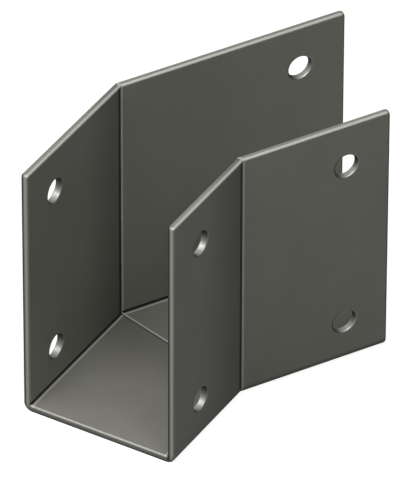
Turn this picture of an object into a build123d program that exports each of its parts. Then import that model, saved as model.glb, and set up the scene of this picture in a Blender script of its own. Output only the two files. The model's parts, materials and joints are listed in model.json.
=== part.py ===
from build123d import *
import math
import os

# Pergola purlin bracket: two open-topped channels folded from steel plate,
# cut to a mitre, butted together at an angle in plan and seam welded.
# Millimetres, Z up. The origin is on the underside of the base, in the
# middle of the front channel's width and straight below its bolt holes. The
# front channel runs along Y, and the rear channel turns from +Y towards +X.
# The shapes are first drawn with the corner between the mitre plane and the
# far wall's inner face at zero, and are moved into place at the end.

# Driving sizes
plate = 4.5
inner_width = 90.0
wall_height = 165.0
turn_deg = 30.0
front_length = 100.0
rear_length = 145.0
rear_cut_deg = 15.0
inner_bend_radius = 1.0
edge_round = 1.4
front_corner_radius = 1.7
rear_corner_radius = 2.8

# Bolt holes, the same in all four walls
bolt_hole_diameter = 14.5
bolt_lip_radius = 0.9
hole_from_end = 29.0
hole_from_top = 28.0
hole_from_underside = 28.0

# Weld along the mitre, ground to just under the plate's faces
weld_gap = 1.0
weld_depth_below = 0.35

# Working values: lengths that are cut away again, and how directions are told
spare_length = 4 * plate
drill_length = 3 * plate
widest_lip = 0.45 * plate
halfway = 0.5
nearly_across = 0.9
touching = 1e-3

half_turn_deg = turn_deg / 2
outer_bend_radius = inner_bend_radius + plate
hole_heights = (hole_from_underside, wall_height - hole_from_top)
mitre_slope = math.tan(math.radians(half_turn_deg))
cut_slope = math.tan(math.radians(rear_cut_deg))
overrun = (inner_width + 2 * plate) * mitre_slope + spare_length
lip = min(bolt_lip_radius, widest_lip)


def channel_profile(inset=0.0):
    """The folded U in the XZ plane, with all its faces moved in by inset."""
    outer_width = inner_width + 2 * plate - 2 * inset
    hollow_width = inner_width + 2 * inset
    top = wall_height - inset
    middle = inner_width / 2
    outer = Pos(middle, (top + inset) / 2) * Rectangle(outer_width, top - inset)
    lower = outer.vertices().group_by(Axis.Y)[0]
    outer = fillet(lower, outer_bend_radius - inset)
    floor_top = plate - inset
    hollow = Pos(middle, (top + floor_top) / 2) * Rectangle(hollow_width, top - floor_top)
    corners = hollow.vertices().group_by(Axis.Y)[0]
    hollow = fillet(corners, inner_bend_radius + inset)
    return outer - hollow


def channel_run(start, end, inset=0.0):
    """A straight open channel along Y between two places."""
    upright = Plane(origin=(0, end, 0), x_dir=(1, 0, 0), z_dir=(0, -1, 0))
    return extrude(upright * channel_profile(inset), amount=end - start)


def cutting_plane(y, slope_deg):
    """An upright plane across the channel at far-wall place y.

    Its normal points along +Y, turned about Z by the slope.
    """
    turn = math.radians(slope_deg)
    normal = (math.sin(turn), math.cos(turn), 0)
    return Plane(origin=(0, y, 0), z_dir=normal)


def keep_side(body, plane, keep):
    """The part of a body on one side of a plane."""
    return split(body, bisect_by=plane, keep=keep)


def crosses_wall(edge):
    """True for a straight edge that runs through the plate's thickness."""
    if edge.geom_type != GeomType.LINE:
        return False
    direction = edge.tangent_at(0)
    return abs(direction.X) > halfway and abs(direction.Z) < halfway


def end_distance(edge, plane):
    """The greatest distance of an edge's ends from a plane."""
    places = [plane.to_local_coords(v.center()).Z for v in edge.vertices()]
    return max(abs(place) for place in places)


def round_top_corners(body, end_plane, radius):
    """Round the two upper corners of the walls at the open end."""
    edges = [
        edge
        for edge in body.edges()
        if crosses_wall(edge)
        and edge.center().Z > wall_height - touching
        and end_distance(edge, end_plane) < touching
    ]
    return fillet(edges, radius)


def round_edges(body, end_plane, corner_radius):
    """Break the sharp edges of the open end and along the wall tops."""
    edges = []
    for edge in body.edges():
        high = edge.center().Z > wall_height / 2
        at_top = edge.center().Z > wall_height - corner_radius
        along_top = at_top and abs(edge.tangent_at(halfway).X) < nearly_across
        at_end = end_distance(edge, end_plane) < corner_radius + touching
        other_end = abs(edge.center().Y - far_end_of(body, end_plane)) < touching
        if crosses_wall(edge) and high:
            continue
        if other_end:
            continue
        if along_top or at_end:
            edges.append(edge)
    return fillet(edges, edge_round)


def far_end_of(body, end_plane):
    """The Y of the square end opposite an open end."""
    box = body.bounding_box()
    if abs(end_plane.origin.Y - box.min.Y) < abs(end_plane.origin.Y - box.max.Y):
        return box.max.Y
    return box.min.Y


def drill(body, x, y):
    """Drill the two bolt holes of one wall and round their lips."""
    for height in hole_heights:
        bit = Cylinder(bolt_hole_diameter / 2, drill_length)
        body = body - Pos(x, y, height) * Rot(0, 90, 0) * bit
    rims = [
        edge
        for edge in body.edges()
        if edge.geom_type == GeomType.CIRCLE
        and abs(edge.radius - bolt_hole_diameter / 2) < touching
        and abs(edge.arc_center.Y - y) < touching
        and abs(edge.arc_center.X - x) < plate
    ]
    return fillet(rims, lip)


def far_wall_x():
    """The middle of the far wall's plate."""
    return -plate / 2


def near_wall_x():
    """The middle of the near wall's plate."""
    return inner_width + plate / 2


def front_channel():
    """The front channel, square at its open end and mitred at the other."""
    end = cutting_plane(-front_length, 0)
    body = channel_run(-front_length, overrun)
    body = round_top_corners(body, end, front_corner_radius)
    body = round_edges(body, end, front_corner_radius)
    hole_y = -front_length + hole_from_end
    body = drill(body, far_wall_x(), hole_y)
    body = drill(body, near_wall_x(), hole_y)
    return keep_side(body, mitre_plane(-weld_gap / 2, 1), Keep.BOTTOM)


def rear_channel():
    """The rear channel in its own straight run, cut on a slant at its open end."""
    end = cutting_plane(rear_length, rear_cut_deg)
    body = channel_run(-overrun, rear_length + overrun)
    body = keep_side(body, end, Keep.BOTTOM)
    body = round_top_corners(body, end, rear_corner_radius)
    body = round_edges(body, end, rear_corner_radius)
    far_y = rear_length - hole_from_end
    near_y = rear_length - inner_width * cut_slope - hole_from_end
    body = drill(body, far_wall_x(), far_y)
    body = drill(body, near_wall_x(), near_y)
    return keep_side(body, mitre_plane(weld_gap / 2, -1), Keep.TOP)


def mitre_plane(offset, side):
    """The mitre plane in the frame of the front (1) or rear (-1) channel."""
    return cutting_plane(0, side * half_turn_deg).offset(offset)


def weld_half(side):
    """The weld between the mitre plane and one channel's cut face."""
    run = channel_run(-overrun, overrun, weld_depth_below)
    if side > 0:
        lower = mitre_plane(-weld_gap / 2, side)
        upper = mitre_plane(0, side)
    else:
        lower = mitre_plane(0, side)
        upper = mitre_plane(weld_gap / 2, side)
    run = keep_side(run, lower, Keep.TOP)
    return keep_side(run, upper, Keep.BOTTOM)


def turned(body):
    """A body of the rear channel's own frame, turned about the mitre corner."""
    return Rot(0, 0, -turn_deg) * body


def placed(body):
    """A body moved from the mitre corner's frame to the part's own."""
    return Pos(-inner_width / 2, front_length - hole_from_end, 0) * body


def mitre_weld():
    """The weld that fills the gap between the two channels."""
    return weld_half(1) + turned(weld_half(-1))


os.makedirs("parts", exist_ok=True)
export_step(placed(front_channel()), "parts/front_channel.step")
export_step(placed(turned(rear_channel())), "parts/rear_channel.step")
export_step(placed(mitre_weld()), "parts/mitre_weld.step")
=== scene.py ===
import json
import math

import bpy
import numpy as np
from mathutils import Matrix, Vector


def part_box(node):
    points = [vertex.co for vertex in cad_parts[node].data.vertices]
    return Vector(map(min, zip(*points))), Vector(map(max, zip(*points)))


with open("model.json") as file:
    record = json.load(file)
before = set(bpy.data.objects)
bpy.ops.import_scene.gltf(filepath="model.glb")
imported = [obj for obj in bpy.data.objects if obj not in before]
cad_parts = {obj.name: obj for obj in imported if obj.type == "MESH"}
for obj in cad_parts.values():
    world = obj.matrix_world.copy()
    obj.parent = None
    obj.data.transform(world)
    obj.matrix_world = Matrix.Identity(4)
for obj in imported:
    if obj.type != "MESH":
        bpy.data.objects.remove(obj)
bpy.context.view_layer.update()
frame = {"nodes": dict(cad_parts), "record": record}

bl_info = {
    "name": "Pergola Purlin Bracket",
    "version": (1, 0, 0),
    "blender": (4, 5, 0),
    "location": "3D View > Sidebar > Bracket",
    "description": "Coats the steel of a welded purlin bracket and sets the studio round it",
    "category": "Object",
}

# Places and directions on the bracket, read from the frame, in metres
MOUNTS = {mount["name"]: mount for mount in frame["record"]["mounts"]}
WALL_BOLTS = ("front_far_bolts", "front_near_bolts", "rear_far_bolts", "rear_near_bolts")
UP = (0.0, 0.0, 1.0)
ALONG_FRONT = (0.0, 1.0, 0.0)
ACROSS_FRONT = (1.0, 0.0, 0.0)
PLATE = MOUNTS["front_seat"]["pos_m"][2]
WALL_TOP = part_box("front_channel")[1][2]
FRONT_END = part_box("front_channel")[0][1]
INNER_HALF_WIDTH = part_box("front_channel")[1][0] - PLATE
WELD_MIDDLE = (np.array(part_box("mitre_weld")[0]) + np.array(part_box("mitre_weld")[1])) / 2
TURN = math.atan2(MOUNTS["rear_far_bolts"]["axis"][1], -MOUNTS["rear_far_bolts"]["axis"][0])
ACROSS_REAR = (math.cos(TURN), -math.sin(TURN), 0.0)
MITRE_NORMAL = (math.sin(TURN / 2), math.cos(TURN / 2), 0.0)
MITRE_ON_AXIS = (0.0, WELD_MIDDLE[1] + WELD_MIDDLE[0] * math.tan(TURN / 2), 0.0)

# The slant of the rear channel's open end, as the CAD part has it
REAR_CUT = math.radians(15.0)
REAR_END_NORMAL = (math.sin(TURN + REAR_CUT), math.cos(TURN + REAR_CUT), 0.0)

# Where masks fade from 0 to 1 across or up the plate, in shares of its thickness
ON_FLOOR = (-0.1, 0.1)
ON_WALLS = (1.0, 1.5)
TOP_HIGHLIGHT_SIDE = (0.1, 0.26)
TOP_FAR_EDGE = (-0.4, -0.25)
REAR_RIM_SIDE = (0.2, 0.35)
FRONT_LINE = (-0.02, 0.32)
FRONT_LINE_SOFT = 0.12
FRONT_LINE_FOOT = (0.5, 1.5)
FRONT_UPPER = (0.74, 1.0)
FRONT_LEFT = (-0.28, -0.05)
FRONT_LOWER = (0.0, 0.9)
FRONT_UNDER = (0.28, 0.46)
OUTER_BEND = (-0.45, -0.22)
OUTER_BEND_FOOT = (0.45, 0.68)
BORE_REACH = (-1.0, 1.0)
BORE_SOFT = 1 / 9
BORE_FAR_RIM = (-0.48, -0.34)

# Where masks fade round a bolt hole, in shares of the lip's width or the hole's radius
LIP_EDGE = (0.6, 1.0)
BORE_EDGE = (0.2, 0.6)
LEFT_SIDE = (-0.8, 0.2)
LOWER_HALF = (-0.9, 0.6)

# Where masks fade beside an edge or a bend, in shares of the width of its painted highlight, painted
# shade or line
EDGE_FACE = (0.3, 1.0)
EDGE_ROUND = (1.0, 1.3)
CREASE_WALL = (0.4, 0.8)
CREASE_OUTSIDE = (-0.5, -0.25)
CREASE_DARK = (0.15, 1.5)
CREASE_SOFT = 0.15
CREASE_PALE_UP = (-0.6, 0.5)
CREASE_PALE_IN = (0.8, 1.6)
CREASE_PALE_SOFT = 0.2

# Where the weld's painted shade lines, its painted highlights and the painted shade in front of the
# mitre begin and end, in shares of each one's width
WELD_LINE_WALLS = (-2.3, 0.0)
WELD_LINE_FLOOR = (-0.9, 0.0)
WELD_LINE_SOFT = 0.1
WELD_PALE_SPAN = (0.0, 1.0)
WELD_PALE_SOFT = 0.2
WELD_TOP = (0.6, 1.0)
WELD_REAR_HALF = (-0.1, 0.1)
KINK_SHADE_SPAN = (-1.0, 0.0)

# How strong the painted highlights and the painted sheen are, from 0 to 1
BORE_HIGHLIGHT = 0.48
TOP_HIGHLIGHT = 0.42
TOP_HIGHLIGHT_LEAST = 0.07
FRONT_HIGHLIGHT = 0.37
SHEEN_BLEND = 0.75
SHEEN_LEAST = 0.7

# How dark the shaded places turn, from 0 to 1
LINE_SHADE = 0.96
BORE_SHADE = 0.92
BORE_RIM_SHADE = 0.85
REAR_RIM_SHADE = 0.8
TOP_EDGE_SHADE = 0.75
FRONT_LEFT_SHADE = 0.95
FRONT_LOWER_SHADE = 0.5
# Painted shade in front of the mitre: its strength on the floor, and the extra on the walls
KINK_SHADE_FLOOR = 0.3
KINK_SHADE_WALLS = 0.1
REAR_FLOOR_SHADE = 0.16

# How the patterns vary the coating's colour and the weld's
WARM_TINT = (1.03, 1.0, 0.94)
COOL_TINT = (0.97, 1.0, 1.03)
BASE_TONE = 0.8
CLOUD_TONE = 0.26
SPECK_TONE = 0.1
GRAIN_TONE = 0.05
WELD_BASE_TONE = 0.75
WELD_PATTERN_TONE = 0.3

# How the patterns and the wear change roughness and metallic
SPECK_ROUGHNESS = 0.14
CLOUD_ROUGHNESS = 0.08
BORE_ROUGHNESS = 0.15
WORN_SMOOTHNESS = 0.17
WORN_METALLIC = 0.35
WELD_ROUGHNESS = 0.08
RIPPLE_ROUGHNESS = 0.2

# How many times finer the specks, the grain and the weld's clouds are than the clouds or the peel
SPECKS_PER_CLOUD = 9
GRAINS_PER_PEEL = 2
WELD_CLOUDS_PER_CLOUD = 4

# Shares of the peel and the grain in the texture, and depths in shares of a ripple's width
PEEL_HEIGHT = 0.6
GRAIN_HEIGHT = 0.4
PEEL_DEPTH = 0.02
RIPPLE_DEPTH = 0.05

# Softboxes: degrees round the bracket and above the floor, metres away and wide, and watts
LAMPS = {
    "overhead": {"azimuth_deg": 0.0, "elevation_deg": 64.0, "distance": 1.6, "size": 1.1, "power": 23.5},
    "left": {"azimuth_deg": -40.0, "elevation_deg": 55.0, "distance": 1.6, "size": 1.1, "power": 8.6},
    "right": {"azimuth_deg": 62.0, "elevation_deg": 55.0, "distance": 1.6, "size": 0.6, "power": 6.3},
}

# The floor's grid lines each way, the width of its faint clouds in metres, and how faint they are
FLOOR_LINES = 3
FLOOR_CLOUD = 0.4
FLOOR_LEAST = 0.995
FLOOR_CHANGE = 0.01

# The camera's sensor in millimetres, and how far it sees in metres
SENSOR_WIDTH = 36.0
CAMERA_REACH = 100.0


class CoatSettings(bpy.types.PropertyGroup):
    """The dark satin coating of the folded channels."""

    tone: bpy.props.FloatVectorProperty(
        name="Tone",
        description="Colour of the coating",
        subtype="COLOR",
        size=3,
        min=0.0,
        max=1.0,
        default=(0.207, 0.205, 0.18),
    )
    # Painted highlight: the pale colour of the rear end's face, the lips' right sides, the pale lines by
    # the bends and behind the weld, and the weld's top
    sheen_tone: bpy.props.FloatVectorProperty(
        name="Sheen tone",
        description="Colour where the coating is thin: the rear end, the hole lips and the pale lines",
        subtype="COLOR",
        size=3,
        min=0.0,
        max=1.0,
        default=(0.42, 0.415, 0.395),
    )
    # Painted highlight: the pale colour of the bright bands in the bores' lower halves, along the wall
    # tops' near sides and on the front end's face
    highlight_tone: bpy.props.FloatVectorProperty(
        name="Highlight tone",
        description="Colour of the steel where bolts and timber have rubbed it bare",
        subtype="COLOR",
        size=3,
        min=0.0,
        max=1.0,
        default=(0.74, 0.73, 0.69),
    )
    roughness: bpy.props.FloatProperty(
        name="Roughness",
        description="How much the coating spreads a reflection",
        min=0.0,
        max=1.0,
        default=0.46,
    )
    metallic: bpy.props.FloatProperty(
        name="Metallic",
        description="How much of the steel shows through the coating",
        min=0.0,
        max=1.0,
        default=0.2,
    )
    cloud_size: bpy.props.FloatProperty(
        name="Cloud size",
        description="Width of the faint warm and cool clouds in the coating",
        unit="LENGTH",
        min=0.001,
        default=0.045,
    )
    peel_size: bpy.props.FloatProperty(
        name="Peel size",
        description="Width of the coating's fine ripples",
        unit="LENGTH",
        min=0.0001,
        default=0.0016,
    )
    # The width of the painted highlights and painted shade at the wall tops and the ends
    edge_width: bpy.props.FloatProperty(
        name="Edge width",
        description="How far the worn edge reaches onto the plate",
        unit="LENGTH",
        min=0.0001,
        default=0.0013,
    )
    # The width of the painted sheen and painted shade round a bolt hole
    lip_width: bpy.props.FloatProperty(
        name="Lip width",
        description="How far the worn ring reaches round a bolt hole",
        unit="LENGTH",
        min=0.0001,
        default=0.0012,
    )
    # Painted shade and painted highlight: the width of the dark and the pale line along the inner bends
    crease_width: bpy.props.FloatProperty(
        name="Crease width",
        description="Width of the dark and the pale line along the inner bends",
        unit="LENGTH",
        min=0.0001,
        default=0.0012,
    )
    # Painted shade at the front end's left and lower edges
    end_shade: bpy.props.FloatProperty(
        name="End shade",
        description="How dark the front end's face turns at its left and lower edges",
        min=0.0,
        max=1.0,
        default=0.9,
    )
    # Painted shade: how far the darkening in front of the mitre reaches
    kink_shade_width: bpy.props.FloatProperty(
        name="Kink shade width",
        description="How far the darker tint beside the weld reaches",
        unit="LENGTH",
        min=0.0001,
        default=0.045,
    )


class WeldSettings(bpy.types.PropertyGroup):
    """The ground weld along the mitre."""

    # Painted shade: the near-black colour of the weld's front half
    tone: bpy.props.FloatVectorProperty(
        name="Tone",
        description="Colour of the coated weld in its shallow groove",
        subtype="COLOR",
        size=3,
        min=0.0,
        max=1.0,
        default=(0.012, 0.012, 0.011),
    )
    shadow_width: bpy.props.FloatProperty(
        name="Shadow width",
        description="Width of the darker line on the front channel's side",
        unit="LENGTH",
        min=0.0,
        default=0.0012,
    )
    # Painted highlight: the width of the pale line on the rear channel's side
    pale_line_width: bpy.props.FloatProperty(
        name="Pale line width",
        description="Width of the paler ground line on the rear channel's side",
        unit="LENGTH",
        min=0.0,
        default=0.0010,
    )
    ripple_size: bpy.props.FloatProperty(
        name="Ripple size",
        description="Spacing of the weld's ripples",
        unit="LENGTH",
        min=0.0001,
        default=0.0022,
    )


class StageSettings(bpy.types.PropertyGroup):
    """Floor, lamps and camera."""

    floor_tone: bpy.props.FloatVectorProperty(
        name="Floor tone",
        description="Colour of the studio floor",
        subtype="COLOR",
        size=3,
        min=0.0,
        max=1.0,
        default=(0.17, 0.17, 0.17),
    )
    floor_lift: bpy.props.FloatProperty(
        name="Floor lift",
        description="Light that the floor adds where the camera sees it directly",
        min=0.0,
        max=1.0,
        default=0.91,
    )
    mirror_lift: bpy.props.FloatProperty(
        name="Mirror lift",
        description="Light that the floor adds in reflections",
        min=0.0,
        max=1.0,
        default=0.08,
    )
    floor_width: bpy.props.FloatProperty(
        name="Floor width",
        description="Side of the square floor",
        unit="LENGTH",
        min=0.5,
        default=12.0,
    )
    sky: bpy.props.FloatProperty(
        name="Sky",
        description="Strength of the even light from all round",
        min=0.0,
        default=0.06,
    )
    azimuth: bpy.props.FloatProperty(
        name="Azimuth",
        description="Camera's direction round the bracket",
        subtype="ANGLE",
        default=math.radians(30.65),
    )
    elevation: bpy.props.FloatProperty(
        name="Elevation",
        description="Camera's height above the floor as an angle",
        subtype="ANGLE",
        default=math.radians(36.92),
    )
    roll: bpy.props.FloatProperty(
        name="Roll",
        description="Camera's turn about its own line of sight",
        subtype="ANGLE",
        default=math.radians(0.16),
    )
    distance: bpy.props.FloatProperty(
        name="Distance",
        description="From the camera to the point it looks at",
        unit="LENGTH",
        default=4.95,
    )
    lens: bpy.props.FloatProperty(
        name="Lens",
        description="Focal length for a 36 mm sensor",
        unit="CAMERA",
        default=659.3,
    )
    target: bpy.props.FloatVectorProperty(
        name="Target",
        description="Point that the camera looks at",
        subtype="XYZ",
        size=3,
        default=(0.0127, 0.0659, 0.0825),
    )


class Signal:
    """A shader value that adds Math nodes when it is used in an expression."""

    def __init__(self, recipe, socket):
        self.recipe = recipe
        self.socket = socket

    def __add__(self, other):
        return self.recipe.maths("ADD", self, other)

    def __radd__(self, other):
        return self.recipe.maths("ADD", other, self)

    def __sub__(self, other):
        return self.recipe.maths("SUBTRACT", self, other)

    def __rsub__(self, other):
        return self.recipe.maths("SUBTRACT", other, self)

    def __mul__(self, other):
        return self.recipe.maths("MULTIPLY", self, other)

    def __rmul__(self, other):
        return self.recipe.maths("MULTIPLY", other, self)


class Recipe:
    """A material or world whose nodes are added one at a time."""

    def __init__(self, tree):
        self.tree = tree
        self.tree.nodes.clear()

    def node(self, kind, settings=None, sockets=None):
        """Add a node, make its settings, then fill its sockets with values or links."""
        made = self.tree.nodes.new(kind)
        for name, value in (settings or {}).items():
            setattr(made, name, value)
        for name, value in (sockets or {}).items():
            self.fill(made.inputs[name], value)
        return made

    def fill(self, socket, value):
        """Link a signal or an output to a socket, or write a plain value."""
        if isinstance(value, Signal):
            value = value.socket
        if isinstance(value, bpy.types.NodeSocket):
            self.tree.links.new(value, socket)
        else:
            socket.default_value = value

    def maths(self, operation, *values):
        """One Math node on signals and numbers."""
        made = self.node("ShaderNodeMath", {"operation": operation}, dict(enumerate(values)))
        return Signal(self, made.outputs[0])

    def fade(self, value, span, unit):
        """Rises smoothly from 0 to 1 over a span that is given in shares of a unit."""
        settings = {"interpolation_type": "SMOOTHSTEP", "clamp": True}
        sockets = {"Value": value, "From Min": span[0] * unit, "From Max": span[1] * unit}
        made = self.node("ShaderNodeMapRange", settings, sockets)
        return Signal(self, made.outputs["Result"])

    def band(self, value, span, unit, soft):
        """Is 1 inside a span and 0 outside it. The span and its softness are shares of a unit."""
        low, high = span
        rising = self.fade(value, (low - soft, low + soft), unit)
        falling = self.fade(value, (high - soft, high + soft), unit)
        return rising * (1 - falling)

    def strongest(self, first, *others):
        """The greatest of several signals."""
        for other in others:
            first = self.maths("MAXIMUM", first, other)
        return first

    def blend(self, factor, first, second):
        """A colour between two colours."""
        settings = {"data_type": "RGBA", "clamp_factor": True}
        made = self.node("ShaderNodeMix", settings, {0: factor, 6: first, 7: second})
        return made.outputs[2]

    def tint(self, colour, amount):
        """A colour made lighter or darker by a signal."""
        scaled = {0: colour, "Scale": amount}
        made = self.node("ShaderNodeVectorMath", {"operation": "SCALE"}, scaled)
        return made.outputs[0]

    def noise(self, place, size, detail=3.0, roughness=0.5, distortion=0.0):
        """Cloudy noise from 0 to 1 whose features are about one size wide."""
        sockets = {
            "Vector": place,
            "Scale": 1.0 / size,
            "Detail": detail,
            "Roughness": roughness,
            "Distortion": distortion,
        }
        made = self.node("ShaderNodeTexNoise", {"noise_dimensions": "3D"}, sockets)
        return Signal(self, made.outputs[0])

    def along(self, place, direction):
        """The distance of a place along a direction."""
        both = {0: place, 1: direction}
        made = self.node("ShaderNodeVectorMath", {"operation": "DOT_PRODUCT"}, both)
        return Signal(self, made.outputs["Value"])

    def bump(self, height, depth):
        """A surface normal from a height signal, where 1 stands depth metres proud."""
        sockets = {"Strength": 1.0, "Distance": depth, "Height": height}
        return self.node("ShaderNodeBump", None, sockets).outputs[0]


def rgba(colour):
    """A colour with full alpha."""
    return (*colour[:3], 1.0)


def new_material(name):
    """An empty node material."""
    material = bpy.data.materials.new(name)
    material.use_nodes = True
    return material


def close_recipe(recipe, surface):
    """End a recipe in the shader that all solid surfaces share."""
    shader = recipe.node("ShaderNodeBsdfPrincipled", None, surface)
    recipe.node("ShaderNodeOutputMaterial", None, {"Surface": shader.outputs[0]})


def end_distance():
    """Where the rear channel's slanted end lies along its normal."""
    mesh = frame["nodes"]["rear_channel"].data
    places = np.empty(len(mesh.vertices) * 3)
    mesh.vertices.foreach_get("co", places)
    return float((places.reshape(-1, 3) @ np.array(REAR_END_NORMAL)).max())


def past_weld(recipe, point):
    """How far a point lies behind the mitre's plane. It is negative in front of it."""
    return recipe.along(point, MITRE_NORMAL) - float(np.dot(WELD_MIDDLE, MITRE_NORMAL))


def across_channel(recipe, point, behind):
    """The place across the channel: 0 in its middle and positive on the near side.

    In front of the mitre it is x, and behind the mitre it is measured along
    the rear channel's own width.
    """
    straight = recipe.along(point, ACROSS_FRONT)
    turned = recipe.along(point, ACROSS_REAR) - float(np.dot(MITRE_ON_AXIS, ACROSS_REAR))
    return straight * (1 - behind) + turned * behind


class Spot:
    """Where a point lies on the folded channels, as signals in metres.

    height is above the underside, and behind_weld is the distance past the
    mitre's plane. aside is the place across a wall's plate, 0 in its middle
    and positive towards the near side. inside is the distance from the nearer
    wall's inner face into the channel. in_rear, on_floor and on_walls tell the
    bracket's regions, from 0 to 1.
    """

    def __init__(self, recipe):
        self.point = recipe.node("ShaderNodeTexCoord").outputs["Object"]
        self.height = recipe.along(self.point, UP)
        self.behind_weld = past_weld(recipe, self.point)
        self.in_rear = recipe.maths("GREATER_THAN", self.behind_weld, 0.0)
        across = across_channel(recipe, self.point, self.in_rear)
        side = recipe.maths("GREATER_THAN", across, 0.0) * 2 - 1
        self.aside = across - side * (INNER_HALF_WIDTH + PLATE / 2)
        self.inside = INNER_HALF_WIDTH - recipe.maths("ABSOLUTE", across)
        self.on_floor = recipe.fade(self.inside, ON_FLOOR, PLATE)
        self.on_walls = recipe.fade(self.height, ON_WALLS, PLATE)


def bolt_holes(recipe, spot, width):
    """Masks for the lips' right sides, which get painted sheen, for the bores' lower halves with painted
    highlight and upper halves with painted shade, and for rims with painted shade, each from 0 to 1.

    Each wall's two holes share an upright line. The distance to a hole's axis
    is the hypotenuse of the distance along the wall and the rise above the
    hole's own level, and it only counts near the plate.
    """
    lips, lower, upper, rims = [], [], [], []
    for name in WALL_BOLTS:
        mount = MOUNTS[name]
        middle = Vector(mount["pos_m"])
        facing = Vector(mount["axis"]) * math.copysign(1.0, mount["axis"][0])
        sideways = Vector((-facing.y, facing.x, 0.0))
        radius = mount["dims"]["hole_r_mm"] / 1000
        half_spacing = mount["dims"]["pcd_mm"] / 2000
        over_middle = recipe.maths("GREATER_THAN", spot.height, middle.z) * 2 - 1
        rise = spot.height - middle.z - over_middle * half_spacing
        aside = recipe.along(spot.point, tuple(sideways)) - middle.dot(sideways)
        beyond = recipe.maths("SQRT", rise * rise + aside * aside) - radius
        depth = recipe.along(spot.point, tuple(facing)) - middle.dot(facing)
        near = recipe.band(depth, BORE_REACH, PLATE, BORE_SOFT)
        lip = near * (1 - recipe.fade(beyond, LIP_EDGE, width))
        bore = near * (1 - recipe.fade(beyond, BORE_EDGE, width))
        # A lip's left side gets painted shade and its right side painted sheen; a bore's lower half gets
        # painted highlight and its upper half painted shade
        left = 1 - recipe.fade(aside, LEFT_SIDE, radius)
        low = 1 - recipe.fade(rise, LOWER_HALF, radius)
        # Painted shade along the bore's far rim
        far_rim = bore * (1 - recipe.fade(depth, BORE_FAR_RIM, PLATE))
        lips.append(lip * (1 - left))
        lower.append(bore * low)
        upper.append(bore * (1 - low))
        rims.append(recipe.strongest(far_rim, lip * left))
    return [recipe.strongest(*marks) for marks in (lips, lower, upper, rims)]


def creases(recipe, spot, width):
    """Dark lines of painted shade by the inner and outer bends, and a pale line of painted highlight
    along the floor's sides.
    """
    rise = spot.height - PLATE
    on_wall = 1 - recipe.fade(spot.inside, CREASE_WALL, width)
    not_outside = recipe.fade(spot.inside, CREASE_OUTSIDE, width)
    above = recipe.band(rise, CREASE_DARK, width, CREASE_SOFT)
    # Painted shade under the outer bends, near the floor
    outside = 1 - recipe.fade(spot.inside, OUTER_BEND, PLATE)
    under = outside * (1 - recipe.fade(spot.height, OUTER_BEND_FOOT, PLATE))
    low = recipe.band(rise, CREASE_PALE_UP, width, CREASE_PALE_SOFT)
    pale = low * recipe.band(spot.inside, CREASE_PALE_IN, width, CREASE_SOFT)
    return recipe.strongest(on_wall * not_outside * above, under), pale


def front_face(recipe, spot):
    """Where the front end's face gets a painted highlight and where it gets painted shade, each from 0
    to 1.

    On the walls the painted highlight is an upright line to the right of the plate's middle, and the
    left edge gets painted shade. On the floor the painted highlight is the upper edge, and the painted
    shade grows towards the underside.
    """
    line = recipe.band(spot.aside, FRONT_LINE, PLATE, FRONT_LINE_SOFT)
    line = line * recipe.fade(spot.height, FRONT_LINE_FOOT, PLATE)
    upper = recipe.fade(spot.height, FRONT_UPPER, PLATE)
    left = (1 - recipe.fade(spot.aside, FRONT_LEFT, PLATE)) * FRONT_LEFT_SHADE
    lower = (1 - recipe.fade(spot.height, FRONT_LOWER, PLATE)) * FRONT_LOWER_SHADE
    under = 1 - recipe.fade(spot.height, FRONT_UNDER, PLATE)
    lit_end = line * (1 - spot.on_floor) + upper * spot.on_floor
    return lit_end, recipe.strongest(left * (1 - spot.on_floor), lower, under)


def edge_bands(recipe, spot, width):
    """Wall tops, the front end's face, that face with its rounds and the rear end's face.

    Each is a signal from 0 to 1.
    """
    from_top = WALL_TOP - spot.height
    from_front = recipe.along(spot.point, ALONG_FRONT) - FRONT_END
    from_rear = end_distance() - recipe.along(spot.point, REAR_END_NORMAL)
    top = 1 - recipe.fade(from_top, EDGE_FACE, width)
    front = 1 - recipe.fade(from_front, EDGE_FACE, width)
    rounded = 1 - recipe.fade(from_front, EDGE_ROUND, width)
    rear = 1 - recipe.fade(from_rear, EDGE_FACE, width)
    return top, front, rounded, rear


def weld_lines(recipe, spot, weld):
    """The painted shade line in front of the weld, wider on the walls, and the painted highlight line
    behind it.
    """
    wide = recipe.band(spot.behind_weld, WELD_LINE_WALLS, weld.shadow_width, WELD_LINE_SOFT)
    thin = recipe.band(spot.behind_weld, WELD_LINE_FLOOR, weld.shadow_width, WELD_LINE_SOFT)
    weld_pale_line = recipe.band(spot.behind_weld, WELD_PALE_SPAN, weld.pale_line_width, WELD_PALE_SOFT)
    return recipe.strongest(wide * spot.on_walls, thin), weld_pale_line


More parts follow.
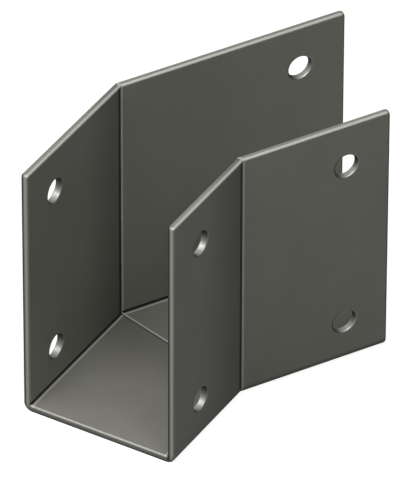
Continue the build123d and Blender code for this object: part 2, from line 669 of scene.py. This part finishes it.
def coated_steel(name, coat, weld):
    """Satin coating over folded plate: clouds, fine peel, painted highlights and painted sheen at the
    edges and holes, and painted shade by the weld, the bends, the holes and the edges.
    """
    material = new_material(name)
    recipe = Recipe(material.node_tree)
    spot = Spot(recipe)
    clouds = recipe.noise(spot.point, coat.cloud_size, detail=4.0, roughness=0.55, distortion=0.4)
    specks = recipe.noise(spot.point, coat.cloud_size / SPECKS_PER_CLOUD, detail=3.0, roughness=0.6)
    grain = recipe.noise(spot.point, coat.peel_size / GRAINS_PER_PEEL, detail=2.0)
    peel = recipe.noise(spot.point, coat.peel_size, detail=2.0, roughness=0.4)

    top, front, rounded, rear = edge_bands(recipe, spot, coat.edge_width)
    lit_end, end_shade = front_face(recipe, spot)
    lips, lower_bores, upper_bores, rims = bolt_holes(recipe, spot, coat.lip_width)
    weld_shade, weld_pale_line = weld_lines(recipe, spot, weld)
    crease, pale = creases(recipe, spot, coat.crease_width)
    # Painted shade on the rear end's near rim and along the wall tops' far edges
    rear_rim = rear * recipe.fade(spot.aside, REAR_RIM_SIDE, PLATE) * (1 - spot.on_floor)
    far_edge = top * (1 - recipe.fade(spot.aside, TOP_FAR_EDGE, PLATE))

    # Painted sheen on the rear end's face, short of its near rim, and on the right sides of the hole
    # lips; these places are also made smoother and more metallic
    sheen = recipe.strongest(rear - rear_rim, lips) * (SHEEN_LEAST + specks * (1 - SHEEN_LEAST))
    # Painted highlights: bright bands in the bores' lower halves, along the wall tops' near sides and on
    # the front end's face
    lit_top = recipe.fade(spot.aside, TOP_HIGHLIGHT_SIDE, PLATE) * TOP_HIGHLIGHT + TOP_HIGHLIGHT_LEAST
    painted_highlight = recipe.strongest(lower_bores * BORE_HIGHLIGHT, top * lit_top, front * lit_end * FRONT_HIGHLIGHT)
    # Painted shade: lines by the weld and the bends, the bores' upper halves, hole rims, the rear end's
    # near rim, the front end's left and lower edges and the wall tops' far edges
    shade = recipe.strongest(
        weld_shade * (1 - top) * LINE_SHADE,
        crease * LINE_SHADE,
        upper_bores * BORE_SHADE,
        rims * BORE_RIM_SHADE,
        rear_rim * REAR_RIM_SHADE,
        rounded * end_shade * coat.end_shade,
        far_edge * TOP_EDGE_SHADE,
    )
    # Painted shade: the front channel darkens towards the mitre, where shade gathers in the kink
    kink_shade = (1 - spot.in_rear) * recipe.fade(spot.behind_weld, KINK_SHADE_SPAN, coat.kink_shade_width)
    kink_shade = kink_shade * (KINK_SHADE_FLOOR + spot.on_walls * KINK_SHADE_WALLS)
    # Painted shade: the rear channel's floor is darker
    painted_rear_floor_shade = spot.in_rear * (1 - spot.on_walls) * REAR_FLOOR_SHADE
    mottle = BASE_TONE + clouds * CLOUD_TONE + specks * SPECK_TONE + grain * GRAIN_TONE

    warmth = recipe.blend(clouds, rgba(WARM_TINT), rgba(COOL_TINT))
    multiply = {"data_type": "RGBA", "blend_type": "MULTIPLY"}
    toned = recipe.node("ShaderNodeMix", multiply, {0: 1.0, 6: rgba(coat.tone), 7: warmth})
    colour = recipe.tint(toned.outputs[2], mottle - kink_shade - painted_rear_floor_shade)
    colour = recipe.blend(sheen * SHEEN_BLEND, colour, rgba(coat.sheen_tone))
    colour = recipe.blend(painted_highlight, colour, rgba(coat.highlight_tone))
    # Painted highlights: the pale line behind the weld and the pale lines along the floor's sides
    colour = recipe.blend(recipe.strongest(weld_pale_line, pale), colour, rgba(coat.sheen_tone))
    colour = recipe.tint(colour, 1 - shade)

    roughness = coat.roughness + (specks - 0.5) * SPECK_ROUGHNESS + (clouds - 0.5) * CLOUD_ROUGHNESS
    roughness = roughness - sheen * WORN_SMOOTHNESS + (lower_bores + upper_bores) * BORE_ROUGHNESS
    texture = peel * PEEL_HEIGHT + grain * GRAIN_HEIGHT
    surface = {
        "Base Color": colour,
        "Metallic": coat.metallic + sheen * WORN_METALLIC,
        "Roughness": roughness,
        "Normal": recipe.bump(texture, coat.peel_size * PEEL_DEPTH),
    }
    close_recipe(recipe, surface)
    return material


def coated_weld(name, coat, weld):
    """The coating in the weld's shallow groove: rippled, with painted shade on the front half and
    painted highlight on the rear half and the top.
    """
    material = new_material(name)
    recipe = Recipe(material.node_tree)
    point = recipe.node("ShaderNodeTexCoord").outputs["Object"]
    ripples = recipe.noise(point, weld.ripple_size, detail=2.0, distortion=0.8)
    clouds = recipe.noise(point, coat.cloud_size / WELD_CLOUDS_PER_CLOUD, detail=3.0)
    top = 1 - recipe.fade(WALL_TOP - recipe.along(point, UP), WELD_TOP, coat.edge_width)
    # Painted highlight on the weld's rear half and top, painted shade on its front half
    rear_half = recipe.fade(past_weld(recipe, point), WELD_REAR_HALF, weld.pale_line_width)
    colour = recipe.blend(recipe.strongest(rear_half, top), rgba(weld.tone), rgba(coat.sheen_tone))
    surface = {
        "Base Color": recipe.tint(colour, WELD_BASE_TONE + (ripples + clouds) * WELD_PATTERN_TONE),
        "Metallic": coat.metallic,
        "Roughness": coat.roughness + WELD_ROUGHNESS + (ripples - 0.5) * RIPPLE_ROUGHNESS,
        "Normal": recipe.bump(ripples, weld.ripple_size * RIPPLE_DEPTH),
    }
    close_recipe(recipe, surface)
    return material


def studio_floor(name, stage):
    """A matt floor that also glows, strongly for the camera and a little in reflections."""
    material = new_material(name)
    recipe = Recipe(material.node_tree)
    point = recipe.node("ShaderNodeTexCoord").outputs["Object"]
    tone = FLOOR_LEAST + recipe.noise(point, FLOOR_CLOUD) * FLOOR_CHANGE
    colour = recipe.tint(tuple(stage.floor_tone), tone)
    matt = recipe.node("ShaderNodeBsdfDiffuse", None, {"Color": colour})
    rays = recipe.node("ShaderNodeLightPath")
    seen = Signal(recipe, rays.outputs["Is Camera Ray"])
    mirrored = recipe.strongest(rays.outputs["Is Glossy Ray"], rays.outputs["Is Transmission Ray"])
    strength = seen * stage.floor_lift + mirrored * stage.mirror_lift
    glow = recipe.node("ShaderNodeEmission", None, {"Strength": strength})
    both = recipe.node("ShaderNodeAddShader", None, {0: matt.outputs[0], 1: glow.outputs[0]})
    recipe.node("ShaderNodeOutputMaterial", None, {"Surface": both.outputs[0]})
    return material


def dress(node_name, material):
    """Give every slot of a CAD node one material."""
    node = frame["nodes"].get(node_name)
    if node is None:
        raise RuntimeError("The frame has no node called " + node_name)
    if not node.material_slots:
        node.data.materials.append(material)
    for slot in node.material_slots:
        slot.material = material


def flat_surface(width, count):
    """A level square on a grid: x and y run evenly over the width and z is zero."""
    line = np.linspace(-width / 2, width / 2, count)
    across, along = np.meshgrid(line, line, indexing="ij")
    places = np.stack([across, along, np.zeros_like(across)], axis=-1).reshape(-1, 3)
    corner = (np.arange(count - 1)[:, None] * count + np.arange(count - 1)[None, :]).ravel()
    faces = np.stack([corner, corner + count, corner + count + 1, corner + 1], axis=-1)
    return places, faces


def new_piece(name, places, faces):
    """A mesh object from arrays of places and faces."""
    mesh = bpy.data.meshes.new(name)
    mesh.from_pydata(places.tolist(), [], faces.tolist())
    piece = bpy.data.objects.new(name, mesh)
    bpy.context.collection.objects.link(piece)
    return piece


def aim(thing, place, target, roll=0.0):
    """Stand a lamp or camera at a place, facing a target."""
    forward = (Vector(target) - Vector(place)).normalized()
    right = forward.cross(Vector(UP)).normalized()
    up = right.cross(forward)
    rolled_right = right * math.cos(roll) + up * math.sin(roll)
    rolled_up = up * math.cos(roll) - right * math.sin(roll)
    turn = Matrix((rolled_right, rolled_up, -forward)).transposed().to_4x4()
    thing.matrix_world = Matrix.Translation(Vector(place)) @ turn


def around(target, azimuth, elevation, distance):
    """A place at a distance from a target, in a direction round it and above it."""
    level = math.cos(elevation)
    back = (math.sin(azimuth) * level, -math.cos(azimuth) * level, math.sin(elevation))
    return Vector(target) + Vector(back) * distance


def add_softbox(name, target, azimuth_deg, elevation_deg, distance, size, power):
    """A square area lamp facing the bracket."""
    lamp = bpy.data.lights.new(name, "AREA")
    lamp.shape = "SQUARE"
    lamp.size = size
    lamp.energy = power
    holder = bpy.data.objects.new(name, lamp)
    bpy.context.collection.objects.link(holder)
    place = around(target, math.radians(azimuth_deg), math.radians(elevation_deg), distance)
    aim(holder, place, target)


def add_camera(stage):
    """The camera at the photograph's angle."""
    lens = bpy.data.cameras.new("camera")
    lens.lens = stage.lens
    lens.sensor_width = SENSOR_WIDTH
    lens.clip_end = CAMERA_REACH
    camera = bpy.data.objects.new("camera", lens)
    bpy.context.collection.objects.link(camera)
    target = tuple(stage.target)
    place = around(target, stage.azimuth, stage.elevation, stage.distance)
    aim(camera, place, target, stage.roll)
    bpy.context.scene.camera = camera


def add_sky(stage):
    """Even light from all round."""
    world = bpy.data.worlds.new("sky")
    world.use_nodes = True
    recipe = Recipe(world.node_tree)
    white = rgba((1.0, 1.0, 1.0))
    glow = recipe.node("ShaderNodeBackground", None, {"Color": white, "Strength": stage.sky})
    recipe.node("ShaderNodeOutputWorld", None, {"Surface": glow.outputs[0]})
    bpy.context.scene.world = world


class BRACKET_OT_channels(bpy.types.Operator):
    """Coat the front and rear channels"""

    bl_idname = "bracket.channels"
    bl_label = "Coat channels"

    def execute(self, context):
        scene = context.scene
        material = coated_steel("coated_steel", scene.bracket_coat, scene.bracket_weld)
        dress("front_channel", material)
        dress("rear_channel", material)
        return {"FINISHED"}


class BRACKET_OT_weld(bpy.types.Operator):
    """Coat the weld along the mitre"""

    bl_idname = "bracket.weld"
    bl_label = "Coat weld"

    def execute(self, context):
        scene = context.scene
        dress("mitre_weld", coated_weld("coated_weld", scene.bracket_coat, scene.bracket_weld))
        return {"FINISHED"}


class BRACKET_OT_stage(bpy.types.Operator):
    """Lay the floor and set the lamps and the camera"""

    bl_idname = "bracket.stage"
    bl_label = "Set stage"

    def execute(self, context):
        stage = context.scene.bracket_stage
        floor = new_piece("floor", *flat_surface(stage.floor_width, FLOOR_LINES))
        floor.data.materials.append(studio_floor("studio_floor", stage))
        target = tuple(stage.target)
        for name, lamp in LAMPS.items():
            add_softbox(name, target, **lamp)
        add_sky(stage)
        add_camera(stage)
        context.scene.view_settings.view_transform = "Standard"
        return {"FINISHED"}


class BRACKET_PT_panel(bpy.types.Panel):
    """The bracket's steps and settings"""

    bl_idname = "BRACKET_PT_panel"
    bl_label = "Purlin bracket"
    bl_space_type = "VIEW_3D"
    bl_region_type = "UI"
    bl_category = "Bracket"

    def draw(self, context):
        for operator in OPERATORS:
            self.layout.operator(operator.bl_idname)
        for name in SETTINGS:
            settings = getattr(context.scene, name)
            box = self.layout.box()
            for key in settings.bl_rna.properties.keys():
                if key not in {"rna_type", "name"}:
                    box.prop(settings, key)


OPERATORS = (BRACKET_OT_channels, BRACKET_OT_weld, BRACKET_OT_stage)
SETTINGS = {
    "bracket_coat": CoatSettings,
    "bracket_weld": WeldSettings,
    "bracket_stage": StageSettings,
}


def register():
    """Register the settings, the operators and the panel."""
    for name, group in SETTINGS.items():
        bpy.utils.register_class(group)
        setattr(bpy.types.Scene, name, bpy.props.PointerProperty(type=group))
    for operator in OPERATORS:
        bpy.utils.register_class(operator)
    bpy.utils.register_class(BRACKET_PT_panel)


def unregister():
    """Remove the panel, the operators and the settings."""
    bpy.utils.unregister_class(BRACKET_PT_panel)
    for operator in reversed(OPERATORS):
        bpy.utils.unregister_class(operator)
    for name, group in SETTINGS.items():
        delattr(bpy.types.Scene, name)
        bpy.utils.unregister_class(group)


def main():
    """Make the scene, one operator after another."""
    register()
    bpy.ops.bracket.channels()
    bpy.ops.bracket.weld()
    bpy.ops.bracket.stage()


if __name__ == "__main__":
    main()
